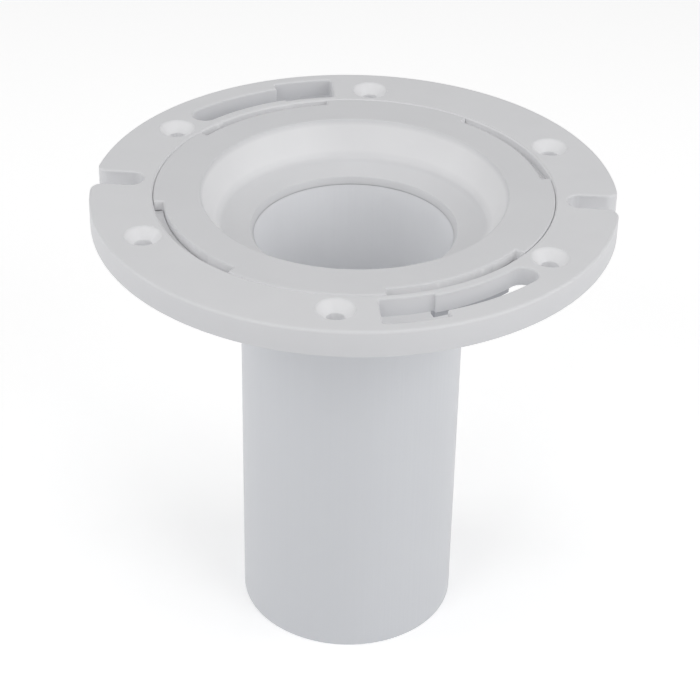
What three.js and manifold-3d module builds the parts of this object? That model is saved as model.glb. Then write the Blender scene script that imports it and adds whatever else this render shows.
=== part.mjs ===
// A toilet (closet) flange that fits inside a 3 inch drain pipe. A slotted swivel ring turns on a moulded
// hub, whose bowl leads down into a straight spigot that is solvent-welded into the hub's socket.
//
// Millimetres, +Z up. The origin is the centre of the spigot's lower end. The ring's two open bolt
// notches lie on +X and -X. The ring and the hub are drawn from their top face down, so their own z is
// 0 at the top face and negative below it.
//
// Radii are a chain from the drain's opening outwards, and depths a chain from the top face down, so a
// change to one size carries the pieces beyond it along.

import * as THREE from 'three';
import { mergeVertices } from 'three/addons/utils/BufferGeometryUtils.js';
import Module from 'manifold-3d';

const wasm = await Module();
wasm.setup();

// ---- Driving dimensions ----

const overallHeight = 168.4; // spigot's lower end to the ring's top face

// Clearances between pieces.
const runningGap = 0.4; // between the ring and the hub that it turns on
const seatGap = 0.3; // between the hub's lobes and the ring's ledge that they rest on
const weldGap = 0.3; // cement film between the spigot and its socket

// Spigot, a length of pipe.
const barrelRadius = 38.75;
const barrelWall = 4.65;
const barrelEndChamfer = 0.8; // breaks both edges of the lower end

// Hub: the bowl, from the opening outwards.
const bevelWidth = 1.3; // bevel from the bowl's floor down to the spigot's bore
const bevelDepth = 2.4;
const floorWidth = 10.2; // nearly level floor of the bowl
const floorFall = 1.45; // how far the floor falls towards the opening
const bowlLean = 6.4; // how far the bowl's wall leans outwards
const bowlDepth = 12.8; // top face to the foot of the bowl's wall
const bowlFillet = 2.6; // length of wall and floor that the rounded foot takes up
const hubWall = 4.0;

// Hub: the land round the bowl, its skirt, and the lobes that hold the ring down.
const landWidth = 12.3; // bowl's mouth to the outside of the skirt
const lipThickness = 3.5;
const skirtWall = 3.0;
const lobeCount = 4;
const lobeReach = 3.3; // skirt to the lobe's outer edge
const windowAngle = 45; // opening between two lobes
const hubTurn = 35.5; // middle of a window, measured from +X

// Hub: snap lugs below the windows, which keep the ring from dropping off.
const lugAngle = 24;
const lugReach = 2.0;
const lugFace = 0.9; // upright part of the lug's outer face
const lugHeight = 3.4;

// Hub: stiffening ribs under the land, and the socket for the spigot.
const hubRibCount = 8;
const hubRibThickness = 2.2;
const hubRibDepth = 9.0;
const socketWall = 4.15;
const socketDepth = 17.4; // length of the spigot held in the socket

// Swivel ring.
const rimHeight = 9.2;
const rimWall = 2.8;
const rimEdgeRadius = 0.9; // rounded top edge
const plateThickness = 4.0;
const innerWall = 3.4; // between the rabbet for the lobes and the bolt slots
const ledgeThickness = 2.9; // ledge below the rabbet, which the hub's lobes rest on
const edgeLand = 12.95; // bolt circle to the outside of the ring
const ringRibPitch = 15; // angle between stiffening ribs
const ringRibThickness = 2.0;

// Bolt slots: an arc with a wide entry for the head of a closet bolt at one end.
const slotWidth = 9.1;
const slotWall = 2.4; // wall round the slot, below the top plate
const entryInset = 1.1; // how far the entry widens towards the hub
const entryOutset = 3.7; // how far it widens towards the rim
const entryStart = -79.8; // angles of the front slot; the back one is half a turn on
const entryEnd = -65.0;
const slotEnd = -37.5; // outermost point of the slot's round end

// Open bolt notches, on +X and -X.
const notchWidth = 8.8;
const notchWall = 2.8;
const notchCornerRadius = 4.0;

// Countersunk screw holes.
const screwCount = 6;
const screwStart = 30; // angle of the first screw
const screwRadius = 3.0;
const countersinkRadius = 6.4;
const bossWall = 3.2;

// Fineness of the curves.
const turnSides = 72; // straight sides that stand for a full circle
const smallTurnSides = 16;
const arcDivisions = 8; // half the straight sides that stand for an arc in a flat outline
const filletSides = 3;
const passThrough = 2; // how far a cutter runs past the faces that it opens

// ---- Sizes that follow ----

const boreRadius = barrelRadius - barrelWall;
const floorInnerRadius = boreRadius + bevelWidth;
const bowlFootRadius = floorInnerRadius + floorWidth;
const mouthRadius = bowlFootRadius + bowlLean;
const skirtRadius = mouthRadius + landWidth;
const lipRadius = skirtRadius + lobeReach;
const rabbetRadius = lipRadius + runningGap;
const slotInnerRadius = rabbetRadius + innerWall;
const boltCircleRadius = slotInnerRadius + slotWidth / 2; // the usual 6 inch circle, as near as measured
const slotRoundAngle = slotEnd - THREE.MathUtils.radToDeg(slotWidth / 2 / boltCircleRadius);
const ringRadius = boltCircleRadius + edgeLand; // 7 inches across

const floorDepth = bowlDepth + floorFall;
const seamDepth = floorDepth + bevelDepth;
const barrelLength = overallHeight - seamDepth - weldGap;
const rabbetDepth = lipThickness + seatGap;
const webDepth = rabbetDepth + ledgeThickness; // lower edge of the ring's inner parts
const lugTop = webDepth + runningGap;
const skirtDepth = lugTop + lugHeight;

// ---- Solids ----

const radians = THREE.MathUtils.degToRad;

/** The closed solid that a three.js geometry bounds. */
function solid(geometry) {
  geometry.deleteAttribute('normal');
  geometry.deleteAttribute('uv');
  const merged = mergeVertices(geometry);
  const mesh = new wasm.Mesh({
    numProp: 3,
    vertProperties: merged.attributes.position.array,
    triVerts: new Uint32Array(merged.index.array),
  });
  return new wasm.Manifold(mesh);
}

/** Turns a closed [radius, z] outline, listed with the material on its left, about the Z axis. */
function turned(outline, sides = turnSides) {
  const points = [...outline, outline[0]].map(([radius, z]) => new THREE.Vector2(radius, z));
  return solid(new THREE.LatheGeometry(points, sides).rotateX(Math.PI / 2));
}

/** A solid cylinder on the Z axis between two heights. */
function plug(radius, low, high, sides = turnSides) {
  return turned([[0, low], [radius, low], [radius, high], [0, high]], sides);
}

/** Raises a flat shape from z = low to z = high. */
function raised(shape, low, high) {
  const options = { depth: high - low, bevelEnabled: false, curveSegments: arcDivisions };
  return solid(new THREE.ExtrudeGeometry(shape, options).translate(0, 0, low));
}

/** An upright plate from radius inner to outer, standing at an angle between z = low and high. */
function radialPlate(angle, inner, outer, thickness, low, high) {
  const box = new THREE.BoxGeometry(outer - inner, thickness, high - low);
  box.translate((inner + outer) / 2, 0, (low + high) / 2);
  return solid(box.rotateZ(radians(angle)));
}

/** The flat area between two radii and two angles. */
function sectorShape(inner, outer, startAngle, endAngle) {
  const shape = new THREE.Shape();
  shape.absarc(0, 0, outer, radians(startAngle), radians(endAngle), false);
  shape.absarc(0, 0, inner, radians(endAngle), radians(startAngle), true);
  shape.closePath();
  return shape;
}

function joined(solids) {
  return solids.reduce((whole, next) => whole.add(next));
}

function cutAway(body, cutters) {
  return cutters.reduce((rest, cutter) => rest.subtract(cutter), body);
}

/** The angles of count copies, spread evenly over a full turn. */
function evenAngles(count, first = 0) {
  return Array.from({ length: count }, (_, i) => first + (i * 360) / count);
}

/** Points that round the corner between two straight lines, set back by the same length on both. */
function roundedCorner(before, corner, after, setback) {
  const [from, at, to] = [before, corner, after].map(([x, y]) => new THREE.Vector2(x, y));
  const start = at.clone().add(from.sub(at).setLength(setback));
  const end = at.clone().add(to.sub(at).setLength(setback));
  const curve = new THREE.QuadraticBezierCurve(start, at, end);
  return curve.getPoints(filletSides).map((point) => [point.x, point.y]);
}

// ---- Swivel ring ----

/** Top plate, rim, and the inner wall with its ledge, as one turned body with a rough bore. */
function ringBody() {
  const roughBore = skirtRadius - passThrough;
  const rimInner = ringRadius - rimWall;
  const edge = new THREE.EllipseCurve(
    ringRadius - rimEdgeRadius, -rimEdgeRadius, rimEdgeRadius, rimEdgeRadius, 0, Math.PI / 2,
  );
  return turned([
    [roughBore, -webDepth],
    [slotInnerRadius, -webDepth],
    [slotInnerRadius, -plateThickness],
    [rimInner, -plateThickness],
    [rimInner, -rimHeight],
    [ringRadius, -rimHeight],
    ...edge.getPoints(filletSides).map((point) => [point.x, point.y]),
    [roughBore, 0],
  ]);
}

/** The bore: a rabbet that takes the hub's lobes, and a narrower hole through the ledge below it. */
function ringBoreCutter() {
  const ledgeRadius = skirtRadius + runningGap;
  return turned([
    [0, -rimHeight - passThrough],
    [ledgeRadius, -rimHeight - passThrough],
    [ledgeRadius, -rabbetDepth],
    [rabbetRadius, -rabbetDepth],
    [rabbetRadius, passThrough],
    [0, passThrough],
  ]);
}

/** Outline of a bolt slot, made larger all round by grow for the wall that stands round it. */
function slotShapes(grow) {
  const middle = boltCircleRadius;
  const endRadius = slotWidth / 2;
  const growAngle = THREE.MathUtils.radToDeg(grow / middle);
  const slotOuterRadius = slotInnerRadius + slotWidth;
  const entry = sectorShape(
    slotInnerRadius - entryInset - grow,
    slotOuterRadius + entryOutset + grow,
    entryStart - growAngle,
    entryEnd + growAngle,
  );
  const arc = sectorShape(slotInnerRadius - grow, slotOuterRadius + grow, entryStart, slotRoundAngle);
  const end = new THREE.Shape();
  end.absarc(
    middle * Math.cos(radians(slotRoundAngle)),
    middle * Math.sin(radians(slotRoundAngle)),
    endRadius + grow, 0, 2 * Math.PI, false,
  );
  return [entry, arc, end];
}

/** A slot as a solid between two heights. */
function slotSolid(grow, low, high) {
  return joined(slotShapes(grow).map((shape) => raised(shape, low, high)));
}

/** Guide below a slot's narrow part, in line with the entry's side, for the head of a closet bolt. */
function boltGuide() {
  const guideRadius = slotInnerRadius - entryInset;
  const shape = sectorShape(guideRadius - slotWall, guideRadius, entryEnd, slotRoundAngle);
  return raised(shape, -rimHeight, -plateThickness / 2);
}

/** Outline of the notch on +X: a round inner end, straight sides, and rounded corners at the rim. */
function notchShape() {
  const half = notchWidth / 2;
  const cornerY = half + notchCornerRadius;
  const cornerX = Math.sqrt((ringRadius - notchCornerRadius) ** 2 - cornerY ** 2);
  const rimAngle = Math.atan2(cornerY, cornerX);
  const outerX = ringRadius + passThrough;
  const shape = new THREE.Shape();
  shape.absarc(boltCircleRadius, 0, half, Math.PI / 2, -Math.PI / 2, false);
  shape.absarc(cornerX, -cornerY, notchCornerRadius, Math.PI / 2, -rimAngle, true);
  shape.lineTo(outerX, -cornerY);
  shape.lineTo(outerX, cornerY);
  shape.absarc(cornerX, cornerY, notchCornerRadius, rimAngle, -Math.PI / 2, true);
  shape.closePath();
  return shape;
}

/** Outline of the wall round the notch, which runs out into the rim. */
function notchWallShape() {
  const half = notchWidth / 2 + notchWall;
  const shape = new THREE.Shape();
  shape.absarc(boltCircleRadius, 0, half, Math.PI / 2, -Math.PI / 2, false);
  shape.lineTo(ringRadius - rimWall / 2, -half);
  shape.lineTo(ringRadius - rimWall / 2, half);
  shape.closePath();
  return shape;
}

function onBoltCircle(angle) {
  return [boltCircleRadius * Math.cos(radians(angle)), boltCircleRadius * Math.sin(radians(angle)), 0];
}

/** Boss below each screw hole, down to the floor. */
function screwBoss(angle) {
  const boss = plug(screwRadius + bossWall, -rimHeight, -plateThickness / 2, smallTurnSides);
  return boss.translate(onBoltCircle(angle));
}

/** Screw hole with a 90 degree countersink. */
function screwCutter(angle) {
  const coneDepth = countersinkRadius - screwRadius;
  const hole = turned([
    [0, -rimHeight - passThrough],
    [screwRadius, -rimHeight - passThrough],
    [screwRadius, -coneDepth],
    [countersinkRadius + passThrough, passThrough],
    [0, passThrough],
  ], smallTurnSides);
  return hole.translate(onBoltCircle(angle));
}

function swivelRing() {
  const halfTurns = [0, 180];
  const screwAngles = evenAngles(screwCount, screwStart);
  const webTop = -plateThickness / 2;
  const walls = [
    ...halfTurns.map((turn) => slotSolid(slotWall, -webDepth, webTop).rotate([0, 0, turn])),
    ...halfTurns.map((turn) => boltGuide().rotate([0, 0, turn])),
    ...halfTurns.map((turn) => raised(notchWallShape(), -rimHeight, webTop).rotate([0, 0, turn])),
    ...screwAngles.map(screwBoss),
    ...evenAngles(360 / ringRibPitch).map((angle) => radialPlate(
      angle, rabbetRadius, ringRadius - rimWall / 2, ringRibThickness, -webDepth, webTop,
    )),
  ];
  const openings = [
    ringBoreCutter(),
    ...halfTurns.map((turn) => slotSolid(0, -rimHeight - passThrough, passThrough).rotate([0, 0, turn])),
    ...halfTurns.map((turn) => (
      raised(notchShape(), -rimHeight - passThrough, passThrough).rotate([0, 0, turn])
    )),
    ...screwAngles.map(screwCutter),
  ];
  return cutAway(joined([ringBody(), ...walls]), openings);
}

// ---- Hub ----

/** The bowl's outside, filled in up to the top face. */
function bowlBlank() {
  return turned([
    [0, -seamDepth],
    [bowlFootRadius, -seamDepth],
    [bowlFootRadius + hubWall, -bowlDepth],
    [mouthRadius + hubWall, 0],
    [0, 0],
  ]);
}

/** The bowl's hollow: sloping wall, nearly level floor, and the bevel down to the spigot's bore. */
function bowlHollow() {
  const rise = passThrough / bowlDepth;
  const above = [mouthRadius + bowlLean * rise, bowlDepth * rise];
  const foot = [bowlFootRadius, -bowlDepth];
  const floorInner = [floorInnerRadius, -floorDepth];
  return turned([
    [0, -seamDepth - passThrough],
    [boreRadius, -seamDepth - passThrough],
    [boreRadius, -seamDepth],
    floorInner,
    ...roundedCorner(floorInner, foot, above, bowlFillet),
    above,
    [0, above[1]],
  ]);
}

/** The land round the bowl's mouth, with the skirt that the ring turns on. */
function landAndSkirt() {
  const inner = mouthRadius - passThrough;
  const skirtInner = skirtRadius - skirtWall;
  return turned([
    [inner, -lipThickness],
    [skirtInner, -lipThickness],
    [skirtInner, -skirtDepth],
    [skirtRadius, -skirtDepth],
    [skirtRadius, 0],
    [inner, 0],
  ]);
}

/** A lobe that reaches out over the ring's ledge, flush with the ring's top face. */
function lobe(angle) {
  const half = (360 / lobeCount - windowAngle) / 2;
  const shape = sectorShape(skirtRadius - skirtWall / 2, lipRadius, angle - half, angle + half);
  return raised(shape, -lipThickness, 0);
}

/** A snap lug: level on top, under the ring's ledge, and sloping below so that the ring rides over it. */
function lug(angle) {
  const inner = skirtRadius - skirtWall / 2;
  const outer = skirtRadius + lugReach;
  const band = turned([
    [inner, -skirtDepth],
    [skirtRadius, -skirtDepth],
    [outer, -lugTop - lugFace],
    [outer, -lugTop],
    [inner, -lugTop],
  ]);
  const reach = sectorShape(
    inner - passThrough, outer + passThrough, angle - lugAngle / 2, angle + lugAngle / 2,
  );
  return band.intersect(raised(reach, -skirtDepth - passThrough, -lugTop + passThrough));
}

/** A rib under the land, between the bowl and the skirt. */
function hubRib(angle) {
  const inner = bowlFootRadius;
  const outer = skirtRadius - skirtWall / 2;
  return radialPlate(angle, inner, outer, hubRibThickness, -hubRibDepth, -lipThickness / 2);
}

function flangeHub() {
  const windows = evenAngles(lobeCount);
  const ribAngles = evenAngles(hubRibCount, 180 / hubRibCount);
  const socketRadius = barrelRadius + weldGap;
  const socketEnd = -seamDepth - weldGap - socketDepth;
  const body = joined([
    bowlBlank(),
    landAndSkirt(),
    plug(socketRadius + socketWall, socketEnd, -seamDepth),
    ...windows.map((angle) => lobe(angle + 180 / lobeCount)),
    ...windows.map(lug),
    ...ribAngles.map(hubRib),
  ]);
  const socketBore = plug(socketRadius, socketEnd - passThrough, -seamDepth);
  return cutAway(body, [bowlHollow(), socketBore]);
}

// ---- Spigot ----

/** Straight pipe, with both edges of its lower end broken. */
function spigotBarrel() {
  return turned([
    [boreRadius, barrelEndChamfer],
    [boreRadius + barrelEndChamfer, 0],
    [barrelRadius - barrelEndChamfer, 0],
    [barrelRadius, barrelEndChamfer],
    [barrelRadius, barrelLength],
    [boreRadius, barrelLength],
  ]);
}

// ---- The fitting ----

/** A named mesh of one piece. */
function pieceMesh(name, body, color, roughness) {
  const { vertProperties, triVerts } = body.getMesh();
  const geometry = new THREE.BufferGeometry();
  geometry.setAttribute('position', new THREE.BufferAttribute(vertProperties, 3));
  geometry.setIndex(new THREE.BufferAttribute(triVerts, 1));
  geometry.computeVertexNormals();
  const mesh = new THREE.Mesh(geometry, new THREE.MeshStandardMaterial({ color, roughness, metalness: 0 }));
  mesh.name = name;
  return mesh;
}

const ring = pieceMesh('swivel_ring', swivelRing(), 0xe9e9eb, 0.42);
ring.position.z = overallHeight;

const hub = pieceMesh('flange_hub', flangeHub(), 0xe8e8ea, 0.42);
hub.position.z = overallHeight;
hub.rotation.z = radians(hubTurn);

const barrel = pieceMesh('spigot_barrel', spigotBarrel(), 0xe2e4e9, 0.38);

const fixedBody = new THREE.Group();
fixedBody.add(hub, barrel);

const toiletFlange = new THREE.Group();
toiletFlange.name = 'toilet_flange';
toiletFlange.add(ring, fixedBody);

export default toiletFlange;
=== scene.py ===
import math

import bpy
import numpy as np
from mathutils import Matrix, Vector
from mathutils.geometry import delaunay_2d_cdt


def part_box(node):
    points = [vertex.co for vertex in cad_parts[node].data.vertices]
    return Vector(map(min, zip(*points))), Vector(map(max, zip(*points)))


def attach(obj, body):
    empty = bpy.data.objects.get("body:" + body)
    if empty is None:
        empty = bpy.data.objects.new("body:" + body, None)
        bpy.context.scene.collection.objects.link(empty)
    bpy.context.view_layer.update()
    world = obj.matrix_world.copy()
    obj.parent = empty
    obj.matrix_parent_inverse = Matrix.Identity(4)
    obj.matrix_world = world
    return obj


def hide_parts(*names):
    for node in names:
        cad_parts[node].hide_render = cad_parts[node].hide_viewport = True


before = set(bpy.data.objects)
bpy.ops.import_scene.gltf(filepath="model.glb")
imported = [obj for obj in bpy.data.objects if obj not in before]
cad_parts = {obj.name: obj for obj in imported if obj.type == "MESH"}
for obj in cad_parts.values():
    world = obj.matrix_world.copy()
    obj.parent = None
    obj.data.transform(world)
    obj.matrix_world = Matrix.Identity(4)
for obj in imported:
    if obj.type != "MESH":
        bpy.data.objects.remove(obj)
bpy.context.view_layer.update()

# A toilet flange: a straight spigot, a bowl-shaped hub welded on top of it, and a slotted ring that turns
# round the hub. The three sections below follow that order. Sizes are in millimetres, depths count down
# from the ring's top face, and each mesh is turned into metres as it is made.


# ---- Studio ------------------------------------------------------------------------------------------
# A pale floor that glows a little, as a light table does, under three soft panels and a white room.
# The camera looks down at 33 degrees from in front, a few degrees round from square to the notches.

_, ring_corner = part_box("swivel_ring")
_, hub_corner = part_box("flange_hub")
_, pipe_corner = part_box("spigot_barrel")

camera_lens = 107.07          # on the standard 36 mm sensor
camera_azimuth = 3.8          # degrees round the drain's axis
camera_pitch = 33.23          # degrees below level
camera_roll = 1.12
camera_stand = (-0.00045, -0.6162, 0.3390)   # from the middle of the ring's top face, before the azimuth

camera_data = bpy.data.cameras.new("studio_camera")
camera_data.lens = camera_lens
camera = bpy.data.objects.new("studio_camera", camera_data)
camera.matrix_world = (
    Matrix.Translation((0, 0, ring_corner.z))
    @ Matrix.Rotation(math.radians(camera_azimuth), 4, "Z")
    @ Matrix.Translation(camera_stand)
    @ Matrix.Rotation(math.radians(90 - camera_pitch), 4, "X")
    @ Matrix.Rotation(math.radians(camera_roll), 4, "Z")
)
bpy.context.scene.collection.objects.link(camera)
bpy.context.scene.camera = camera
bpy.context.scene.view_settings.view_transform = "Standard"


def soft_panel(name, place, size, power):
    """A square panel light at a place, turned to face the object's middle."""
    data = bpy.data.lights.new(name, "AREA")
    data.size = size
    data.energy = power
    panel = bpy.data.objects.new(name, data)
    panel.location = place
    aim = Vector((0, 0, ring_corner.z / 2)) - Vector(place)
    panel.rotation_mode = "QUATERNION"
    panel.rotation_quaternion = aim.to_track_quat("-Z", "Y")
    bpy.context.scene.collection.objects.link(panel)


soft_panel("top_panel", (0.1, 0.3, 1.4), 1.2, 3.8)
soft_panel("high_panel", (0.0, -0.45, 1.3), 0.5, 0.7)
soft_panel("key_panel", (0.9, -0.8, 0.9), 0.7, 4.2)
soft_panel("fill_panel", (-0.6, -0.9, 1.0), 0.6, 2.8)
soft_panel("left_panel", (-1.2, -0.1, 0.7), 0.7, 3.4)
soft_panel("right_panel", (1.2, -0.1, 0.7), 0.7, 2.6)

room = bpy.data.worlds.new("white_room")
room.use_nodes = True
room.node_tree.nodes["Background"].inputs["Color"].default_value = (1.0, 1.0, 1.0, 1.0)
room.node_tree.nodes["Background"].inputs["Strength"].default_value = 0.30
bpy.context.scene.world = room

floor_reach = 6.0             # metres from the object to the floor's edge
floor_mesh = bpy.data.meshes.new("studio_floor")
floor_mesh.from_pydata(
    [(x, y, 0) for x, y in ((-floor_reach, -floor_reach), (floor_reach, -floor_reach),
                            (floor_reach, floor_reach), (-floor_reach, floor_reach))],
    [], [(0, 1, 2, 3)])
floor = bpy.data.objects.new("studio_floor", floor_mesh)
bpy.context.scene.collection.objects.link(floor)
floor_paint = bpy.data.materials.new("pale_floor")
floor_paint.use_nodes = True
floor_shader = floor_paint.node_tree.nodes["Principled BSDF"]
floor_shader.inputs["Base Color"].default_value = (0.95, 0.95, 0.95, 1)
floor_shader.inputs["Roughness"].default_value = 0.9
floor_shader.inputs["Emission Color"].default_value = (1, 1, 1, 1)
floor_shader.inputs["Emission Strength"].default_value = 0.31
floor_mesh.materials.append(floor_paint)


# ---- Spigot ------------------------------------------------------------------------------------------
# A length of white PVC drain pipe, slightly bluer than the mouldings above it. It is extruded, which
# leaves faint lines along it, sawn to length, and its edges are broken before it is welded to the hub.

depth_of_seam = 16.65         # ring's top face to the shoulder that the pipe butts against
weld_line = 0.07              # hairline left between the pipe's end and that shoulder
pipe_wall = 4.65
sawn_edge = 0.7               # rounding of the lower end
top_edge = 0.15               # rounding of the end in the socket
top_face = ring_corner.z * 1000
pipe_radius = pipe_corner.y * 1000
bore_radius = pipe_radius - pipe_wall


def rounded_path(corners, radii, closed=True, steps=5):
    """Path through corners, each replaced by an arc of its own radius that touches both of its sides.

    An arc's points are centre + radius * (u sin((1 - a) t) + v sin(a t)) / sin t, for a from 0 to 1, where
    u and v point from its centre to where it touches the sides, and t is the angle between them."""
    corners = np.asarray(corners, float)
    count = len(corners)
    share = np.linspace(0, 1, steps + 1)[:, None]
    parts = []
    for i in range(count):
        here = corners[i]
        end_of_line = not closed and i in (0, count - 1)
        if end_of_line or radii[i] == 0:
            parts.append(here[None])
            continue
        back = corners[i - 1] - here
        onward = corners[(i + 1) % count] - here
        back /= np.linalg.norm(back)
        onward /= np.linalg.norm(onward)
        half = math.acos(np.clip(back @ onward, -1, 1)) / 2
        setback = radii[i] / math.tan(half)
        middle = (back + onward) / np.linalg.norm(back + onward)
        centre = here + middle * radii[i] / math.sin(half)
        start = here + back * setback - centre
        finish = here + onward * setback - centre
        turn = math.pi - 2 * half
        parts.append(centre + (np.sin((1 - share) * turn) * start + np.sin(share * turn) * finish)
                     / math.sin(turn))
    return np.vstack(parts)


def divided(path, spacing, closed=True):
    """The same path with extra points, so that no two neighbours are further apart than spacing."""
    ends = np.roll(path, -1, axis=0) if closed else path[1:]
    starts = path if closed else path[:-1]
    pieces = np.maximum(np.ceil(np.linalg.norm(ends - starts, axis=1) / spacing), 1).astype(int)
    index = np.repeat(np.arange(len(starts)), pieces)
    step = np.arange(pieces.sum()) - np.repeat(np.cumsum(pieces) - pieces, pieces)
    points = starts[index] + (step / pieces[index])[:, None] * (ends - starts)[index]
    return points if closed else np.vstack([points, path[-1]])


def turned_about_axis(profile, sides):
    """Closed (radius, height) profile turned about Z: point (r cos a, r sin a, z) at each angle a."""
    angle = np.linspace(0, 2 * math.pi, sides, endpoint=False)
    radius, height = profile[:, 0], profile[:, 1]
    points = np.stack([np.outer(np.cos(angle), radius), np.outer(np.sin(angle), radius),
                       np.broadcast_to(height, (sides, len(profile)))], axis=2)
    column, row = np.meshgrid(np.arange(sides), np.arange(len(profile)), indexing="ij")
    at = lambda c, r: (c % sides) * len(profile) + r % len(profile)
    quads = np.stack([at(column, row), at(column + 1, row), at(column + 1, row + 1), at(column, row + 1)],
                     axis=2)
    return points.reshape(-1, 3), quads.reshape(-1, 4)


def finished_piece(name, points, faces, material, tone_and_painted_light=None, sharp_above=38):
    """A mesh object from points in millimetres, smooth except where its faces meet above an angle.

    The per-point tone, from 0 to 1, sets how white each point is painted, with painted light and shade in
    it."""
    mesh = bpy.data.meshes.new(name)
    mesh.from_pydata((points / 1000).tolist(), [], faces)
    mesh.shade_smooth()
    mesh.set_sharp_from_angle(angle=math.radians(sharp_above))
    mesh.materials.append(material)
    if tone_and_painted_light is not None:
        # Stores each point's tone, with its painted light and shade, on the mesh.
        mesh.attributes.new("tone_and_painted_light", "FLOAT", "POINT").data.foreach_set("value", tone_and_painted_light)
    piece = bpy.data.objects.new(name, mesh)
    bpy.context.scene.collection.objects.link(piece)
    return piece


class Field:
    """A number or vector that varies over a surface. Arithmetic on it adds Math nodes to the material."""

    def __init__(self, tree, socket):
        self.tree = tree
        self.socket = socket

    def node(self, kind, settings=None, inputs=None, output=0):
        """Any other node: its settings are set first, then its sockets' values or links."""
        made = self.tree.nodes.new(kind)
        for key, value in (settings or {}).items():
            setattr(made, key, value)
        for key, value in (inputs or {}).items():
            if isinstance(value, Field):
                self.tree.links.new(value.socket, made.inputs[key])
            else:
                made.inputs[key].default_value = value
        return Field(self.tree, made.outputs[output])

    def maths(self, operation, *values):
        """A Math node that works on the values in order."""
        return self.node("ShaderNodeMath", {"operation": operation}, dict(enumerate(values)))

    def __add__(self, other):
        return self.maths("ADD", self, other)

    def __sub__(self, other):
        return self.maths("SUBTRACT", self, other)

    def __rsub__(self, other):
        return self.maths("SUBTRACT", other, self)

    def __mul__(self, other):
        return self.maths("MULTIPLY", self, other)

    def __pow__(self, other):
        return self.maths("POWER", self, other)

    __radd__ = __add__
    __rmul__ = __mul__


def start_material(name):
    """A new material's own shader, and the place on the piece as x, y, z and the whole vector."""
    material = bpy.data.materials.new(name)
    material.use_nodes = True
    tree = material.node_tree
    shader = tree.nodes["Principled BSDF"]
    seed = Field(tree, shader.outputs[0])
    place = seed.node("ShaderNodeTexCoord", output="Object")
    apart = [seed.node("ShaderNodeSeparateXYZ", inputs={"Vector": place}, output=k) for k in range(3)]
    return material, shader, place, apart


def cloud(place, size, detail=3.0):
    """Soft noise from 0 to 1 whose blotches are about size metres across."""
    return place.node("ShaderNodeTexNoise", inputs={"Vector": place, "Scale": 1 / size, "Detail": detail})


def between(low, high, share):
    """Colour between two colours, each a red, green and blue or the colour of another node."""
    low, high = (c if isinstance(c, Field) else (*c, 1) for c in (low, high))
    return share.node("ShaderNodeMix", {"data_type": "RGBA"}, {"Factor": share, "A": low, "B": high},
                      output="Result")


def ramp(value, low, high):
    """Smooth rise from 0 to 1 as a value, in metres, goes from low to high millimetres."""
    return value.node("ShaderNodeMapRange", {"interpolation_type": "SMOOTHSTEP"},
                      {"Value": value, "From Min": low / 1000, "From Max": high / 1000})


def dress(shader, tree_value, colour, roughness, height, depth):
    """Plugs colour, roughness and relief into a shader. Relief of height 1 stands depth metres proud."""
    links = tree_value.tree.links
    relief = tree_value.node("ShaderNodeBump", output="Normal",
                             inputs={"Strength": 1.0, "Distance": depth, "Height": height})
    links.new(colour.socket, shader.inputs["Base Color"])
    links.new(roughness.socket, shader.inputs["Roughness"])
    links.new(relief.socket, shader.inputs["Normal"])


def extruded_pvc():
    """Cool white pipe: cloudy tint, fine lines along the pipe, small handling marks, and painted light in
    the bore.
    """
    material, shader, place, (x, y, z) = start_material("extruded_pvc")
    round_pipe = y.maths("ARCTAN2", y, x)
    stretched = place.node("ShaderNodeCombineXYZ", inputs={"X": round_pipe * 26.0, "Y": z * 5.0, "Z": 0.0})
    lines = cloud(stretched, 1.0, 4.0)
    blotches = cloud(place, 0.035)
    pitting = cloud(place, 0.0012, 2.0)
    tint = blotches * 0.6 + lines * 0.4
    outside = between((0.584, 0.597, 0.626), (0.618, 0.630, 0.657), tint)
    # Painted light: the bore's colour is far whiter than the outside's, standing in for light that reaches
    # down inside the pipe.
    inside = between((0.892, 0.900, 0.922), (0.925, 0.932, 0.950), tint)
    radius = (x * x + y * y) ** 0.5
    # Blends from the painted-light bore colour to the outside colour across the pipe's wall.
    colour = between(inside, outside, ramp(radius, bore_radius + 0.5, pipe_radius - 1.5))
    dress(shader, place, colour, 0.30 + 0.16 * blotches, lines * 0.8 + pitting * 0.35, 0.00007)
    return material


pipe_top = top_face - depth_of_seam - weld_line
pipe_corners = [(bore_radius, 0), (pipe_radius, 0), (pipe_radius, pipe_top), (bore_radius, pipe_top)]
pipe_profile = divided(rounded_path(pipe_corners, [sawn_edge, sawn_edge, top_edge, top_edge]), 8.0)
pipe = finished_piece("spigot_pipe", *turned_about_axis(pipe_profile, 240), extruded_pvc())
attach(pipe, "hub")
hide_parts("spigot_barrel")


# ---- Hub ---------------------------------------------------------------------------------------------
# An injection-moulded PVC bowl, open in the middle, with a socket below that the pipe is cemented into.
# Its lip has four lobes that hold the ring down and four windows, through which the mould's cores reach
# the snap lugs under the ring. Below the lip it is cored out, with a skirt for the ring and eight ribs.

hub_turn = 35.5               # degrees from +X to the middle of a window
lobe_radius = hub_corner.y * 1000
skirt_radius = lobe_radius - 3.3
lug_radius = skirt_radius + 2.0
window_half = 22.5            # degrees from the middle of a window to its end
lug_half = 12.0
lip_depth = 3.5
lug_top = 7.1
lug_bottom = 8.0              # lower edge of the lug's upright face
skirt_depth = 10.5
skirt_inner = skirt_radius - 3.0
mouth_radius = bore_radius + 17.9
foot_radius = bore_radius + 11.5
foot_depth = 12.8
floor_radius = bore_radius + 1.3
floor_depth = 14.25
hub_wall = 4.0
socket_bore = pipe_radius + 0.3
socket_radius = socket_bore + 4.15
socket_depth = depth_of_seam + 17.7
rib_depth = 9.0
rib_half = 1.1
hair = 0.15                   # width of the level strip that keeps a flat face flat beside a rounded edge
draft = 0.08                  # lean of a moulded wall, foot to top


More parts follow.
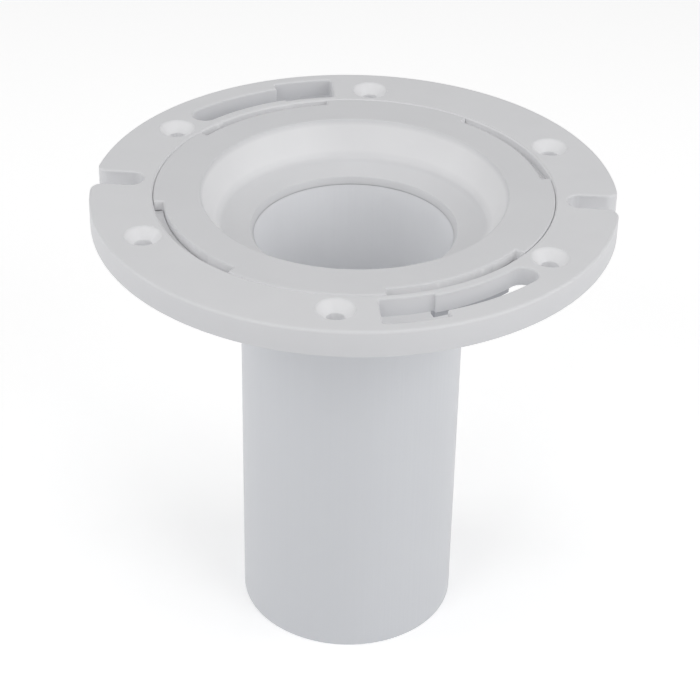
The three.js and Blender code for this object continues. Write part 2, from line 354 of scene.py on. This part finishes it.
def polar(path, middle_radius):
    """(distance round, radius) points wrapped round the axis, with distances measured at one radius."""
    angle = path[:, 0] / middle_radius
    return np.stack([path[:, 1] * np.cos(angle), path[:, 1] * np.sin(angle)], axis=1)


def spun(points, degrees):
    """Plan points turned about the axis."""
    c, s = math.cos(math.radians(degrees)), math.sin(math.radians(degrees))
    return points @ np.array([[c, s], [-s, c]])


def circle(radius, sides=240, centre=(0, 0)):
    """Points evenly round a circle: centre + radius (cos a, sin a)."""
    angle = np.linspace(0, 2 * math.pi, sides, endpoint=False)
    return np.stack([np.cos(angle), np.sin(angle)], axis=1) * radius + centre


def offset_path(path, distance):
    """A closed anticlockwise path moved outwards along its normals, which average its sides' normals."""
    side = np.roll(path, -1, axis=0) - path
    normal = np.stack([side[:, 1], -side[:, 0]], axis=1)
    normal /= np.linalg.norm(normal, axis=1, keepdims=True)
    normal = normal + np.roll(normal, 1, axis=0)
    normal *= (2 / (normal ** 2).sum(axis=1))[:, None]
    return path + normal * distance


def distance_to(path, points, reach=14.0):
    """Distance from each point to a closed path, negative inside it, and reach wherever it is far away.

    It is the least distance to any side, and a point is inside if a line from it to the right crosses
    the path an odd number of times. Points and sides are held as complex numbers x + iy."""
    start = path @ (1, 1j)
    side = np.roll(start, -1) - start
    spot = points @ (1, 1j)
    result = np.full(len(points), reach)
    near = np.flatnonzero(((points > path.min(0) - reach) & (points < path.max(0) + reach)).all(1))
    for part in np.array_split(near, len(near) // 300 + 1):
        along = spot[part, None] - start
        turned = along * side.conj()
        gap = along - np.clip(turned.real / (side * side.conj()).real, 0, 1) * side
        least = np.sqrt((gap.real ** 2 + gap.imag ** 2).min(1))
        crosses = (along.imag < 0) != (along.imag < side.imag)
        inside = (crosses & ((turned.imag > 0) == (side.imag > 0))).sum(1) % 2 == 1
        result[part] = np.where(inside, -least, least)
    return result


def edge_rows(radius, steps=4):
    """Distances in from an edge, and the drop at each, for a quarter-round edge and a strip beyond it."""
    angle = np.linspace(0, math.pi / 2, steps + 1)
    inward = np.append(radius * (1 - np.cos(angle)), radius + hair)
    return inward, np.append(radius * (np.sin(angle) - 1), 0)


def wall_rows(end, base, edge=0.3, root=0.6, lean=draft, steps=3):
    """Distances out from the side of a wall, and the height at each.

    The wall ends in a flat at height end, with a quarter-round edge, and stands on a face at height
    base, with a quarter-round fillet at its root."""
    angle = np.linspace(0, math.pi / 2, steps + 1)
    up = 1 if base > end else -1
    edge_out = -edge * np.cos(angle)
    edge_height = (end + up * edge * (1 - np.sin(angle)))[::-1]
    root_out = lean + root * (1 - np.cos(angle))
    root_height = base - up * root * (1 - np.sin(angle))
    distance = np.concatenate([[-edge - hair], edge_out, root_out, [lean + root + hair]])
    height = np.concatenate([[end], edge_height, root_height, [base]])
    return distance, height


def moulding(loops, holds, top, bottom):
    """The solid between two height fields over one plan, as a closed mesh.

    The loops are joined into one triangle mesh in the plan that follows all of them. Triangles whose
    middle is on material, where holds is below 0, are kept twice: at height top and, turned over, at
    height bottom. Walls join the two along the plan's free edges, with a narrow strip beside each end."""
    counts = [len(loop) for loop in loops]
    starts = np.cumsum([0] + counts[:-1])
    edges = np.vstack([np.stack([s + np.arange(n), s + (np.arange(n) + 1) % n], axis=1)
                       for s, n in zip(starts, counts)])
    flat, _, triangles, *_ = delaunay_2d_cdt(
        [Vector(point) for point in np.vstack(loops).tolist()], edges.tolist(), [], 0, 1e-4, False)
    plan = np.array([tuple(v) for v in flat])
    faces = np.array([t for t in triangles if len(t) == 3])
    faces = faces[holds(plan[faces].mean(axis=1)) < 0]
    used, faces = np.unique(faces, return_inverse=True)
    plan, faces = plan[used], faces.reshape(-1, 3)
    (ax, ay), (bx, by), (cx, cy) = (plan[faces[:, k]].T for k in range(3))
    clockwise = (bx - ax) * (cy - ay) < (cx - ax) * (by - ay)
    faces[clockwise] = faces[clockwise][:, ::-1]

    sides = faces[:, [0, 1, 1, 2, 2, 0]].reshape(-1, 2)
    _, first, uses = np.unique(np.sort(sides, axis=1), axis=0, return_index=True, return_counts=True)
    rim = sides[first[uses == 1]]
    corner, place = np.unique(rim, return_inverse=True)
    place = place.reshape(-1, 2)

    high, low = top(plan), bottom(plan)
    count, rows = len(plan), len(corner)
    upper = np.column_stack([plan[corner], high[corner] - hair])
    lower = np.column_stack([plan[corner], low[corner] + hair])
    points = np.vstack([np.column_stack([plan, high]), np.column_stack([plan, low]), upper, lower])
    levels = [rim, 2 * count + place, 2 * count + rows + place, count + rim]
    walls = [np.column_stack([a[:, 0], b[:, 0], b[:, 1], a[:, 1]]) for a, b in zip(levels, levels[1:])]
    return points, faces.tolist() + (faces[:, ::-1] + count).tolist() + np.vstack(walls).tolist()


def moulded_pvc(name, rib_pitch, rib_at, rib_from, rib_to):
    """Satin white moulding: cloudy tint, a per-point tone that carries painted light and shade, a fine
    grain, and shallow sinks above the ribs underneath.

    The sinks follow ((1 + cos(n (a - a0))) / 2) ** 6, which peaks at each of n ribs round the axis."""
    material, shader, place, (x, y, z) = start_material(name)
    radius = (x * x + y * y) ** 0.5
    turns = (y.maths("ARCTAN2", y, x) - math.radians(rib_at)) * (360 / rib_pitch)
    above_rib = (0.5 + 0.5 * turns.maths("COSINE", turns)) ** 6.0
    sinks = above_rib * ramp(radius, rib_from, rib_from + 3) * ramp(radius, rib_to, rib_to - 3)
    blotches = cloud(place, 0.028)
    swirl = cloud(place, 0.009, 5.0)
    grain = cloud(place, 0.0011, 2.0)
    tint = blotches * 0.55 + swirl * 0.45
    # Per-point tone with painted light and shade in it, set when each piece is made.
    tone_and_painted_light = place.node("ShaderNodeAttribute", {"attribute_name": "tone_and_painted_light"}, output="Fac")
    # The colour runs from a dark painted-shade colour to white.
    colour = between((0.290, 0.298, 0.325), (0.880, 0.880, 0.890), tone_and_painted_light + 0.08 * (tint - 0.5))
    height = 0.6 - sinks * 0.5 + swirl * 0.25 + grain * 0.28
    dress(shader, place, colour, 0.34 + 0.16 * blotches, height, 0.00008)
    return material


def hub_outline(stops, radii):
    """A closed outline of four equal quarters, from (angle, radius) corners and the rounding at each."""
    corners = [(a + 90 * k, r) for k in range(4) for a, r in stops]
    corners = [(-45, stops[0][1])] + corners + [(315, stops[0][1])]
    corners = [(math.radians(a) * lobe_radius, r) for a, r in corners]
    path = divided(rounded_path(corners, [0] + radii * 4 + [0], closed=False), 1.2, closed=False)
    return spun(polar(path[:-1], lobe_radius), hub_turn)


lip_path = hub_outline([(-window_half, lobe_radius), (-window_half, skirt_radius),
                        (window_half, skirt_radius), (window_half, lobe_radius)], [0.8, 0.5, 0.5, 0.8])
lug_path = hub_outline([(-lug_half, skirt_radius), (-lug_half, lug_radius),
                        (lug_half, lug_radius), (lug_half, skirt_radius)], [0.4, 0.6, 0.6, 0.4])
lip_in, lip_drop = edge_rows(0.6)
bowl_line = rounded_path(
    [(bore_radius, -depth_of_seam), (floor_radius, -floor_depth), (foot_radius, -foot_depth),
     (mouth_radius, 0), (mouth_radius + 4, 0)],
    [0, 0.35, 3.4, 0.7, 0], closed=False, steps=8)
bowl_line[-1, 0] = bowl_line[-2, 0] + hair
skirt_out, skirt_height = wall_rows(-skirt_depth, -lip_depth)
rib_out, rib_height = wall_rows(-rib_depth, -lip_depth, root=0.4)
under_line = rounded_path(
    [(bore_radius, -depth_of_seam), (socket_bore - draft, -depth_of_seam), (socket_bore, -socket_depth),
     (socket_radius, -socket_depth), (socket_radius + draft, -depth_of_seam), (foot_radius, -depth_of_seam),
     (foot_radius + hub_wall, -foot_depth), (mouth_radius + hub_wall, -lip_depth),
     (skirt_inner - draft, -lip_depth), (skirt_inner, -skirt_depth), (skirt_radius, -skirt_depth)],
    [0, 0.02, 0.02, 0.6, 0.05, 1.0, 1.5, 1.0, 0.05, 0.6, 0], closed=False, steps=4)
hub_rib_angles = hub_turn + np.arange(22.5, 360, 45)


def rib_distance(points, angles, inner, outer, half_width):
    """Distance from the nearest radial rib's side, negative inside a rib, taken as a box in the plan."""
    nearest = np.full(len(points), np.inf)
    for angle in angles:
        along, across = spun(points, -angle).T
        beyond = np.maximum(inner - along, along - outer)
        nearest = np.minimum(nearest, np.maximum(np.abs(across) - half_width, beyond))
    return nearest


def rib_loops(angles, inner, outer, half_width, rows):
    """Long loops that follow each rib's two sides at every distance in rows."""
    stretch = np.linspace(inner, outer, 6)
    line = lambda w: np.column_stack([np.append(stretch, stretch[::-1]), np.repeat([-w, w], len(stretch))])
    return [spun(line(half_width + row), angle) for angle in angles for row in rows]


def hub_holds(points):
    """Below 0 on material: inside the lip or a lug, and outside the bore."""
    radius = np.hypot(*points.T)
    covered = np.minimum(distance_to(lip_path, points), distance_to(lug_path, points))
    return np.maximum(covered, bore_radius - radius)


def hub_top(points):
    """Bowl and level land, rounded off at the lip's edge, and the lugs' tops outside the lip."""
    radius = np.hypot(*points.T)
    edge = distance_to(lip_path, points)
    land = np.interp(radius, bowl_line[:, 0], bowl_line[:, 1]) + np.interp(-edge, lip_in, lip_drop)
    return top_face + np.where(edge > draft / 2, -lug_top, land)


def hub_bottom(points):
    """Coring, ribs, skirt and socket below, with the lobes' and lugs' undersides outside the skirt."""
    radius = np.hypot(*points.T)
    inside = np.interp(radius, under_line[:, 0], under_line[:, 1])
    ribs = rib_distance(points, hub_rib_angles, foot_radius, skirt_radius - 1, rib_half)
    inside = np.minimum(inside, np.interp(ribs, rib_out, rib_height))
    out = radius - skirt_radius
    lug = -skirt_depth + (skirt_depth - lug_bottom) * np.clip(out / (lug_radius - skirt_radius), 0, 1)
    lobe = np.interp(out, skirt_out - skirt_out[1], skirt_height)
    beyond = np.where(distance_to(lug_path, points) < 0.01, lug, lobe)
    return top_face + np.where(out > 0.01, beyond, inside)


def rise(values, low, high):
    """Straight rise from 0 at low to 1 at high, level beyond both."""
    return np.clip((values - low) / (high - low), 0, 1)


def hub_tone_and_painted_light(points):
    """Painted light and shade on an even land: painted highlight on the bowl's side and the windows' walls,
    and painted shade below the lip, deepening down the socket.
    """
    radius, depth = np.hypot(points[:, 0], points[:, 1]), top_face - points[:, 2]
    # Painted highlight on the bowl's side.
    bowl = rise(radius, foot_radius - 0.5, foot_radius + 1.5) * rise(radius, mouth_radius, mouth_radius - 1)
    bowl = np.where(depth < foot_depth, bowl, 0)
    # Painted highlight on the windows' walls.
    window = rise(depth, 0.1, 0.7) * rise(depth, 4, 3) * (radius > skirt_radius - 1)
    # Painted shade, darker further down the socket.
    return 0.69 + 0.27 * np.maximum(bowl, window) - 0.05 * rise(depth, floor_depth + 1, socket_depth)


skirt_rows = skirt_radius + (skirt_out - skirt_out[1])[1:]
# Rows at the breaks of the painted highlight on the bowl's side.
painted_light_rows = [foot_radius - 0.5, foot_radius + 1.5, mouth_radius - 1]
hub_radii = np.concatenate([bowl_line[:, 0], under_line[:, 0], skirt_rows, [skirt_radius + draft],
                            painted_light_rows])
hub_radii = np.unique(np.round(hub_radii[hub_radii < lobe_radius - 0.05], 3))
hub_radii = hub_radii[np.append(True, np.diff(hub_radii) > 0.015)]
hub_plan = [circle(radius) for radius in hub_radii]
hub_plan += [offset_path(lip_path, -inward) for inward in lip_in] + [lug_path]
hub_plan += rib_loops(hub_rib_angles, foot_radius + 1, skirt_inner + 1, rib_half, rib_out)
hub_points, hub_faces = moulding(hub_plan, hub_holds, hub_top, hub_bottom)
hub = finished_piece("hub_moulding", hub_points, hub_faces,
                     moulded_pvc("hub_pvc_satin", 45, hub_turn + 22.5, mouth_radius, skirt_inner),
                     hub_tone_and_painted_light(hub_points))
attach(hub, "hub")
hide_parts("flange_hub")


# ---- Swivel ring -------------------------------------------------------------------------------------
# An injection-moulded PVC ring, a flat plate stiffened below by a rim, an inner wall and ribs. It rests
# under the hub's lobes and turns on the skirt. Two stepped arc slots and two open notches take the closet
# bolts, and six countersunk holes, each with a boss below, take the screws to the floor.

ring_radius = ring_corner.y * 1000
bolt_circle = ring_radius - 12.95
rim_depth = 9.2
rim_inner = ring_radius - 2.8
rim_edge = 0.9                # rounding of the rim's top edge
plate_depth = 4.0
web_depth = 6.7
rabbet_depth = 3.8
rabbet_radius = lobe_radius + 0.2
ledge_radius = skirt_radius + 0.2
slot_width = 9.1
slot_inner = bolt_circle - slot_width / 2
slot_wall = 2.4
entry_inset = 1.1
entry_outset = 3.7
entry_angles = (-79.8, -65.0)
slot_end = -37.5
notch_half = 4.4
notch_wall = 2.8
notch_corner = 4.0
screw_radius = 3.0
countersink_radius = 6.4
boss_radius = 6.2
screw_angles = np.arange(30, 360, 60)
ring_rib_angles = np.arange(0, 360, 15)
ring_rib_half = 1.0
opening_edge = 0.6            # rounding of the slots', notches' and rabbet's top edges
lower_edge = 0.3              # rounding of the same openings' lower edges
joint_sides = 280             # straight sides to a circle at the joint with the hub
underside_sides = 200         # and to one under the plate


def ring_outline():
    """The rim with its two notches: for each half, rim, flared corner, notch side, round end, and back."""
    corner_y = notch_half + notch_corner
    corner_x = math.sqrt((ring_radius - notch_corner) ** 2 - corner_y ** 2)
    flare_angle = math.atan2(corner_y, corner_x)
    rim = np.linspace(flare_angle, math.pi - flare_angle, 150)
    flare = np.linspace(math.pi - flare_angle, 1.5 * math.pi, 14)[1:]
    end = np.linspace(math.pi / 2, -math.pi / 2, 24)
    arc = lambda x, y, radius, angle: np.stack([np.cos(angle), np.sin(angle)], axis=1) * radius + (x, y)
    upper = arc(-corner_x, corner_y, notch_corner, flare)
    side = np.linspace(upper[-1], (-bolt_circle, notch_half), 8)[1:-1]
    lower = (upper * (1, -1))[::-1][:-1]
    half = np.vstack([arc(0, 0, ring_radius, rim), upper, side, arc(-bolt_circle, 0, notch_half, end),
                      (side * (1, -1))[::-1], lower])
    return np.vstack([half, -half])


def guide_outline():
    """Guide for a closet bolt's head, below the front slot's narrow part and in line with the entry."""
    start = math.radians(entry_angles[1]) * bolt_circle
    end = math.radians(slot_end) * bolt_circle - slot_width / 2
    outer = slot_inner - entry_inset
    corners = [(start, outer - slot_wall), (start, outer), (end, outer), (end, outer - slot_wall)]
    return polar(divided(rounded_path(corners, [0.3] * 4, steps=3), 1.2), bolt_circle)


def slot_outline():
    """The front slot: a wide entry, a step on both sides, and a narrow arc with a round end."""
    start, step = (math.radians(angle) * bolt_circle for angle in entry_angles)
    end = math.radians(slot_end) * bolt_circle
    inner, outer = slot_inner, slot_inner + slot_width
    corners = [(start, inner - entry_inset), (start, outer + entry_outset), (step, outer + entry_outset),
               (step, outer), (end, outer), (end, inner), (step, inner), (step, inner - entry_inset)]
    radii = [0.9, 0.9, 0.7, 0.7, slot_width / 2 - 0.01, slot_width / 2 - 0.01, 0.5, 0.5]
    path = divided(rounded_path(corners, radii, steps=10), 1.5)
    return polar(path, bolt_circle)


rim_path = ring_outline()
front_slot = slot_outline()
slots = [front_slot, -front_slot]
front_guide = guide_outline()
guides = [front_guide, -front_guide]
screw_places = [spun(np.array([[bolt_circle, 0.0]]), angle)[0] for angle in screw_angles]
rim_in, _ = edge_rows(rim_edge, 5)
open_in, open_drop = edge_rows(opening_edge)
lower_in, lower_drop = edge_rows(lower_edge, 3)
web_out, web_height = wall_rows(-web_depth, -plate_depth)
deep_out, deep_height = wall_rows(-rim_depth, -plate_depth)
rabbet_out, rabbet_height = wall_rows(0, -rabbet_depth, edge=0.6, root=0.25)
sink_steps = np.array([screw_radius - countersink_radius, -0.55, -0.3, -0.1, 0.05, 0.05 + hair])
sink_radii = countersink_radius + sink_steps
sink_depth = np.array([-3.4, -0.55, -0.32, -0.17, 0, 0])


def ring_holds(points):
    """Below 0 on material: inside the rim, outside the ledge's hole, the slots and the screw holes."""
    holds = np.maximum(distance_to(rim_path, points), ledge_radius - np.hypot(*points.T))
    for slot in slots:
        holds = np.maximum(holds, -distance_to(slot, points))
    for place in screw_places:
        holds = np.maximum(holds, screw_radius - np.hypot(*(points - place).T) - 0.01)
    return holds


def rounding(inside, radius):
    """Drop of a quarter-round edge: sqrt(radius^2 - (radius - inside)^2) - radius, within the radius."""
    reach = np.clip(inside, 0, radius)
    return np.sqrt(np.maximum(radius ** 2 - (radius - reach) ** 2, 0)) - radius


def ring_top(points):
    """Flat face with the rabbet, the countersinks, a rounded rim, and softer edges at the openings."""
    radius = np.hypot(*points.T)
    inside = -distance_to(rim_path, points)
    in_notch = np.clip((notch_half + notch_corner - np.abs(points[:, 1])) / notch_corner, 0, 1)
    rim_radius = rim_edge + (opening_edge - rim_edge) * in_notch
    height = rounding(inside, rim_radius)
    height = np.minimum(height, np.interp(rabbet_radius - radius, rabbet_out, rabbet_height))
    for slot in slots:
        height = np.minimum(height, np.interp(distance_to(slot, points), open_in, open_drop))
    for place in screw_places:
        height = np.minimum(height, np.interp(np.hypot(*(points - place).T), sink_radii, sink_depth))
    return top_face + height


def ring_bottom(points):
    """Plate's underside, with the inner wall, slot walls and ribs, and the deeper rim and bosses."""
    radius = np.hypot(*points.T)
    slot_side = np.minimum(*(distance_to(slot, points) for slot in slots))
    ribs = rib_distance(points, ring_rib_angles, rabbet_radius, ring_radius, ring_rib_half)
    web = np.minimum(np.minimum(radius - slot_inner, slot_side - slot_wall), ribs)
    x, y = np.abs(points.T)
    notch_side = np.maximum(y - notch_half - notch_wall, bolt_circle - x)
    notch_end = np.hypot(x - bolt_circle, y) - notch_half - notch_wall
    guide = np.minimum(*(distance_to(path, points) for path in guides))
    deep = np.minimum.reduce([rim_inner - radius, notch_side, notch_end, guide])
    for place in screw_places:
        deep = np.minimum(deep, np.hypot(*(points - place).T) - boss_radius)
    height = np.minimum(np.interp(web, web_out, web_height), np.interp(deep, deep_out, deep_height))
    edge = np.minimum(slot_side, -distance_to(rim_path, points))
    return top_face + height - np.interp(np.minimum(edge, radius - ledge_radius), lower_in, lower_drop)


def ring_tone_and_painted_light(points):
    """Painted light and shade: even on the top, painted highlight in the countersinks and the rabbet, and
    painted shade on the rim and in the openings.

    The slots' walls get painted shade that deepens downwards, and the guides below them are painted
    darkest, as shade."""
    radius, depth = np.hypot(points[:, 0], points[:, 1]), top_face - points[:, 2]
    # Painted shade on everything more than about a millimetre below the top face: rim, openings and
    # underside.
    tone_and_painted_light = 0.75 - 0.20 * rise(depth, 0.4, 1.2)
    beside_slot = np.minimum(*(distance_to(slot, points[:, :2]) for slot in slots))
    # Painted shade that deepens down the slots' walls.
    tone_and_painted_light -= 0.16 * rise(depth, 1.2, web_depth - 0.5) * rise(beside_slot, 0.6, 0.4)
    beside_guide = np.minimum(*(np.abs(distance_to(path, points[:, :2])) for path in guides))
    # Painted shade on the guides, the darkest on the ring.
    tone_and_painted_light -= 0.45 * rise(depth, web_depth - 0.5, web_depth) * rise(beside_guide, 1.0, 0.8)
    # Painted highlight in the countersinks.
    sinks = [np.hypot(*(points[:, :2] - place).T) for place in screw_places]
    in_sink = rise(np.minimum.reduce(sinks), countersink_radius + 0.2, countersink_radius - 0.6)
    tone_and_painted_light = np.where(depth < 3.6, tone_and_painted_light + (0.90 - tone_and_painted_light) * in_sink, tone_and_painted_light)
    # Painted highlight on the rabbet's wall.
    in_rabbet = rise(radius, rabbet_radius + 0.6, rabbet_radius + 0.1) * rise(depth, 0.1, 0.6) * (depth < 4)
    return tone_and_painted_light + (0.88 - tone_and_painted_light) * in_rabbet


ring_plan = [offset_path(rim_path, -inward) for inward in rim_in]
ring_plan += [circle(rabbet_radius - out, joint_sides) for out in rabbet_out]
ring_plan += [circle(ledge_radius + inward, joint_sides) for inward in lower_in]
ring_plan += [circle(slot_inner + out, underside_sides) for out in web_out]
ring_plan += [circle(rim_inner - out, underside_sides) for out in deep_out]
slot_rows = (*open_in, *lower_in, *(slot_wall + web_out))
ring_plan += [offset_path(slot, grow) for slot in slots for grow in slot_rows]
ring_plan += [offset_path(guide, out) for guide in guides for out in deep_out]
ring_plan += rib_loops(ring_rib_angles, slot_inner - 1, rim_inner + 1, ring_rib_half, web_out)
for place in screw_places:
    ring_plan += [circle(radius, 40, place) for radius in (*sink_radii, *(boss_radius + deep_out))]
ring_points, ring_faces = moulding(ring_plan, ring_holds, ring_top, ring_bottom)
ring = finished_piece("ring_moulding", ring_points, ring_faces,
                      moulded_pvc("ring_pvc_satin", 15, 0, slot_inner - 1, rim_inner + 1),
                      ring_tone_and_painted_light(ring_points))
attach(ring, "ring")
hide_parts("swivel_ring")
